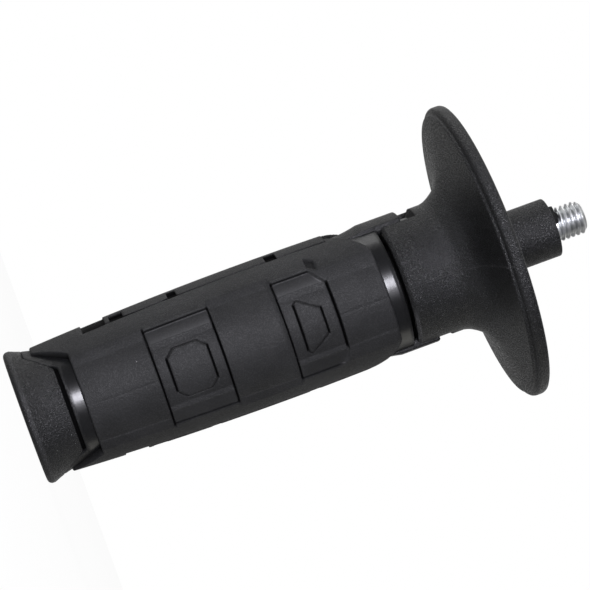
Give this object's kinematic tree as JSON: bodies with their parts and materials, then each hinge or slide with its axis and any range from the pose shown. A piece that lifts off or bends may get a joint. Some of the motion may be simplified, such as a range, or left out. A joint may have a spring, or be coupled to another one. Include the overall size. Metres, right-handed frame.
{
  "type": "power tool side handle",
  "caption": "Round auxiliary handle with a hard core, a soft moulded cover, a wide guard disc and a short steel stud; the grip tilts slightly on rubber dampers.",
  "frame": {"origin": "centre of the flat butt end that the handle stands on", "axes": "+Z along the handle's axis from the butt end to the stud; -Y is the middle of the front gripping pad; +X and -X are the two tabs"},
  "size_m": [0.0714, 0.0714, 0.1382],
  "materials": {
    "hard_plastic": "fine spark-eroded texture",
    "core_plastic": "polished shut-off bands",
    "soft_cover": "matte moulded elastomer",
    "damper_rubber": "plain rubber",
    "zinc_steel": "bright zinc plating"
  },
  "bodies": {
    "grip": {"butt_cap": "hard_plastic", "grip_core": "core_plastic", "grip_cover": "soft_cover"},
    "damper": {"front_damper": "damper_rubber", "rear_damper": "damper_rubber"},
    "guard": {"guard_flange": "hard_plastic", "threaded_stud": "zinc_steel", "retaining_washer": "zinc_steel", "lock_nut": "zinc_steel"}
  },
  "joints": [
    {"name": "tilt_x", "type": "hinge", "parent": "grip", "child": "damper", "pos_m": [0, 0, 0.092], "axis": [1, 0, 0], "range_deg": [-2, 2], "stiffness_Nm_per_rad": 5, "deforming": ["front_damper", "rear_damper"]},
    {"name": "tilt_y", "type": "hinge", "parent": "damper", "child": "guard", "pos_m": [0, 0, 0.092], "axis": [0, 1, 0], "range_deg": [-2, 2], "stiffness_Nm_per_rad": 5}
  ]
}
